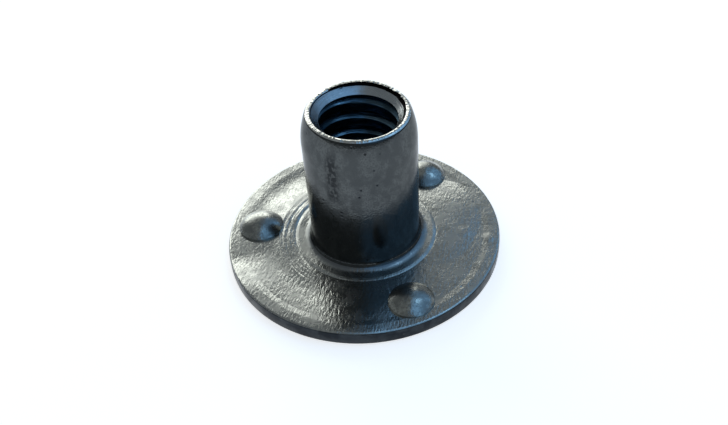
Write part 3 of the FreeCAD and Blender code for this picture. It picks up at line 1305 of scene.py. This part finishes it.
@dataclass
class WeldNut:
    """The whole nut, one piece of steel. The last fields tell its zones apart. They are in
    millimetres, except wall_up and level_up, the upward parts of a face's normal below which it
    counts as a wall and above which it counts as level."""

    size: NutSizes = SIZES
    blank: Blank = field(default_factory=Blank)
    projections: Projections = field(default_factory=Projections)
    tap: Tap = field(default_factory=Tap)
    smooth_angle: float = math.radians(32)
    seam: float = 0.0002
    piece: bpy.types.Object | None = None
    thread_low: float = 0.5
    barrel_foot: float = 0.18
    rim_drop: float = 0.02
    base_drop: float = 0.05
    wall_up: float = 0.5
    level_up: float = 0.95

    def build(self) -> None:
        """Turns the blank, raises the projections, punches their marks and taps the thread."""
        self.piece = self.blank.build()
        self._join(self.blank.crevice(), Joining.CUT)
        self._join(self.projections.domes(), Joining.ADD)
        self._join(self.projections.dimples(), Joining.CUT)
        self._join(self.tap.build(), Joining.CUT)
        only(self.piece)
        bpy.ops.object.mode_set(mode="EDIT")
        bpy.ops.mesh.select_all(action="SELECT")
        bpy.ops.mesh.remove_doubles(threshold=self.seam * MM)
        bpy.ops.mesh.normals_make_consistent(inside=False)
        bpy.ops.object.mode_set(mode="OBJECT")
        bpy.ops.object.shade_smooth_by_angle(angle=self.smooth_angle)
        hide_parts("weld_nut")
        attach(self.piece, "root")
        mesh = self.piece.data
        log.info("weld nut: %d vertices, %d faces", len(mesh.vertices), len(mesh.polygons))

    def _join(self, tool: bpy.types.Object, joining: Joining) -> None:
        """Adds a tool's shape to the piece or cuts it away, and deletes the tool.

        Args:
            tool: the closed tool.
            joining: whether it is added or cut away.
        """
        only(self.piece)
        cut = self.piece.modifiers.new("cut", "BOOLEAN")
        cut.object = tool
        cut.operation = joining.value
        cut.solver = "EXACT"
        bpy.ops.object.modifier_apply(modifier=cut.name)
        bpy.data.objects.remove(tool)

    def dress(self) -> None:
        """Gives each zone of the skin its finish."""
        finishes = self._finishes()
        for zone in Zone:
            self.piece.data.materials.append(finishes[zone].material())
        for face in self.piece.data.polygons:
            face.material_index = self._zone(face.center / MM, face.normal).value
        log.info("dressed in %d finishes", len(finishes))

    def _finishes(self) -> dict[Zone, Steel]:
        """Lists the steel of each zone.

        Returns:
            The finish of every zone.
        """
        return {
            Zone.FACE: FaceSteel(
                "face_steel", (0.56, 0.565, 0.535), (0.37, 0.375, 0.36), 0.18, 0.1,
                grain=19, grain_across=6.4, grain_along=2.5, swell=18, grit=4.5, mottle_scale=900, fleck=0.7,
            ),
            # The barrel's near-black colour is partly its own dark tarnish and partly painted shade: it
            # stands in for the shadowed floor that the barrel mirrors.
            Zone.BARREL: BarrelSteel(
                "barrel_steel", (0.088, 0.095, 0.096), (0.06, 0.065, 0.067), 0.13, 0.08,
                swell=3, grit=6, mottle_scale=1500, mottle_stretch=0.8, fleck=1.0, pits=12, edge_tint=0.68,
            ),
            Zone.PROJECTION: Steel(
                "projection_steel", (0.5, 0.51, 0.475), (0.24, 0.245, 0.235), 0.17, 0.16,
                grain=15, grain_across=8, grain_along=6, swell=5, grit=7, mottle_scale=1000, fleck=0.8,
            ),
            # The rim's near-black blue is painted shade and painted reflection: it stands in for the dark
            # surroundings that the rim's side mirrors.
            Zone.RIM: Steel(
                "rim_steel", (0.034, 0.04, 0.046), (0.014, 0.018, 0.023), 0.3, 0.1,
                grit=3.5, rings=6, mottle_scale=1100, pits=10,
            ),
            Zone.BASE: Steel(
                "base_steel", (0.42, 0.42, 0.4), (0.3, 0.3, 0.29), 0.25, 0.1,
                grain=16, swell=12, grit=2.5,
            ),
            Zone.LIP: Steel(
                "lip_steel", (0.8, 0.79, 0.75), (0.45, 0.45, 0.43), 0.15, 0.1,
                wrinkle=55, grit=4, peel_round=17, peel_out=0.8,
            ),
            Zone.COUNTERSINK: Steel(
                "countersink_steel", (0.52, 0.55, 0.57), (0.38, 0.4, 0.42), 0.24, 0.08,
                grit=3.5, rings=24, ring_lines=13,
            ),
            # The thread's dark blue is painted shade and painted reflection: it stands in for the shade deep
            # in the bore and the blue sky that the ridges mirror.
            Zone.THREAD: Steel(
                "thread_steel", (0.14, 0.23, 0.3), (0.05, 0.085, 0.11), 0.16, 0.1,
                grit=2, rings=16, ring_lines=16,
            ),
            # The crevice under the lip is painted near-black: painted shade of a deep groove.
            Zone.CREVICE: Steel("crevice_steel", (0.01, 0.01, 0.012), (0.004, 0.004, 0.005), 0.5, 0.1),
        }

    def _zone(self, centre: Vector, normal: Vector) -> Zone:
        """Tells which zone a face belongs to.

        Args:
            centre: the face's centre, in millimetres.
            normal: the way it faces.
        Returns:
            The zone.
        """
        size, lip = self.size, self.blank.lip
        radius = centre.xy.length
        facing_in = normal.xy.dot(centre.xy) < 0.0
        lip_foot = size.height - lip.band
        collar_top = size.weld_face + size.collar_rise
        if radius < size.thread_root_radius + TOUCH and self.thread_low < centre.z < size.cone_foot + TOUCH:
            return Zone.THREAD
        # The walls and floor of the crevice under the lip take the near-black painted shade.
        if facing_in and centre.z > size.cone_foot and normal.z < self.wall_up:
            return Zone.CREVICE
        if normal.z > self.level_up and size.cone_foot < centre.z < lip_foot:
            return Zone.CREVICE
        if facing_in and size.cone_foot < centre.z < size.height - lip.crevice_high:
            return Zone.COUNTERSINK
        if centre.z > lip_foot:
            return Zone.LIP
        if centre.z > collar_top + self.barrel_foot and radius < size.barrel_radius + size.root_radius:
            return Zone.BARREL
        if centre.z > size.weld_face + size.rim_rise and radius > size.barrel_radius + size.collar_width:
            return Zone.PROJECTION
        if radius > size.flange_radius - size.rim_top_radius and centre.z < size.weld_face - self.rim_drop:
            return Zone.RIM
        if centre.z < size.weld_face - self.base_drop:
            return Zone.BASE
        return Zone.FACE


@dataclass(frozen=True)
class Softbox:
    """An oblong lamp that looks at the nut. Its bearing counts from straight behind the nut as the
    camera sees it, towards the camera's left, and its tilt raises its left end, all in degrees.
    Sizes are in metres."""

    name: str
    bearing: float
    elevation: float
    width: float
    height: float
    brightness: float
    colour: Colour = (1.0, 1.0, 1.0)
    tilt: float = 0.0
    distance: float = 0.5

    def build(self, heading: float) -> None:
        """Adds the lamp.

        Args:
            heading: the way that the camera looks, in degrees from +Y towards -X.
        """
        turn = math.radians(heading + self.bearing)
        rise = math.radians(self.elevation)
        out = Vector((-math.sin(turn) * math.cos(rise), math.cos(turn) * math.cos(rise), math.sin(rise)))
        lamp = bpy.data.lights.new(self.name, "AREA")
        lamp.shape = "RECTANGLE"
        lamp.size, lamp.size_y = self.width, self.height
        lamp.energy = self.brightness * math.pi * self.width * self.height
        lamp.color = self.colour
        item = bpy.data.objects.new(self.name, lamp)
        look = (-out).to_track_quat("-Z", "Y") @ Quaternion((0, 0, 1), math.radians(self.tilt))
        item.matrix_world = Matrix.LocRotScale(out * self.distance, look, None)
        bpy.context.scene.collection.objects.link(item)


@dataclass(frozen=True)
class Camera:
    """The camera: where it stands and looks, in millimetres, and its lens. The heading turns both
    round the nut's axis, in degrees, and the roll is in radians."""

    heading: float = 9.41
    eye: Vector = Vector((0, -44.74, 43.63))
    aim: Vector = Vector((8.158, 0, 2.041))
    roll: float = 0.05294
    focal_pixels: float = 858.165
    image_width: int = 728
    centre_offset_pixels: float = 116.0
    sensor: float = 36.0

    def build(self) -> None:
        """Adds the camera and makes it the scene's own."""
        data = bpy.data.cameras.new("camera")
        data.sensor_width = self.sensor
        data.lens = self.focal_pixels * self.sensor / self.image_width
        data.shift_x = -self.centre_offset_pixels / self.image_width
        data.clip_start = MM
        turn = Matrix.Rotation(math.radians(self.heading), 3, "Z")
        eye, aim = turn @ self.eye * MM, turn @ self.aim * MM
        look = (aim - eye).to_track_quat("-Z", "Y") @ Quaternion((0, 0, 1), self.roll)
        item = bpy.data.objects.new("camera", data)
        item.matrix_world = Matrix.LocRotScale(eye, look, None)
        bpy.context.scene.collection.objects.link(item)
        bpy.context.scene.camera = item
        log.info("camera %.1f mm away", (eye - aim).length / MM)


@dataclass
class Studio:
    """The pale floor, the lamps and the camera round the nut."""

    camera: Camera = field(default_factory=Camera)
    floor_size: float = 6.0
    floor_facets: int = 64
    floor_colour: Colour = (0.9, 0.89, 0.87)
    floor_fill: float = 0.71
    air: float = 0.185
    air_colour: Colour = (0.9, 1.0, 1.05)
    lamps: tuple[Softbox, ...] = (
        Softbox("window", 17, 16.5, 0.52, 0.44, 2.1, (0.965, 1.0, 0.95), tilt=8),
        Softbox("sky", 256, 52, 1.3, 0.7, 0.47, (0.08, 0.46, 1.0)),
        Softbox("skylight", 272, 62, 0.12, 0.16, 1.4, (0.4, 0.7, 1.0), distance=0.45),
    )

    def build(self) -> None:
        """Sets the view, then adds the floor, the air's light, the lamps and the camera."""
        bpy.context.scene.view_settings.view_transform = "Standard"
        self._floor()
        self._world()
        for lamp in self.lamps:
            lamp.build(self.camera.heading)
        log.info("floor and %d lamps", len(self.lamps))
        self.camera.build()

    def _floor(self) -> None:
        """Adds the floor, which shows white to the camera and in the metal and keeps the shadow."""
        bpy.ops.object.select_all(action="DESELECT")
        radius = self.floor_size / 2
        bpy.ops.mesh.primitive_circle_add(vertices=self.floor_facets, radius=radius, fill_type="NGON")
        floor = bpy.context.object
        floor.name = "floor"
        paper = bpy.data.materials.new("paper")
        paper.use_nodes = True
        nodes = Nodes(paper.node_tree)
        nodes.tree.nodes.clear()
        rays = nodes.add("LightPath").outputs
        seen = nodes.math("MAXIMUM", rays["Is Camera Ray"], rays["Is Glossy Ray"])
        seen = nodes.math("MAXIMUM", seen, rays["Is Transmission Ray"])
        skin = nodes.add("BsdfPrincipled", {
            "Base Color": self.floor_colour,
            "Roughness": 1.0,
            "Specular IOR Level": 0.0,
            "Emission Color": (1.0, 1.0, 1.0),
            "Emission Strength": nodes.times(seen, self.floor_fill),
        })
        out = nodes.add("OutputMaterial")
        nodes.plug(out.inputs["Surface"], skin.outputs[0])
        floor.data.materials.append(paper)

    def _world(self) -> None:
        """Fills the air with a dim even light."""
        world = bpy.data.worlds.new("air")
        world.use_nodes = True
        nodes = Nodes(world.node_tree)
        nodes.tree.nodes.clear()
        light = nodes.add("Background", {"Color": self.air_colour, "Strength": self.air})
        out = nodes.add("OutputWorld")
        nodes.plug(out.inputs["Surface"], light.outputs[0])
        bpy.context.scene.world = world


def main() -> None:
    """Builds the nut and the studio, and reports each."""
    nut = WeldNut()
    nut.build()
    nut.dress()
    Studio().build()


if __name__ == "__main__":
    main()
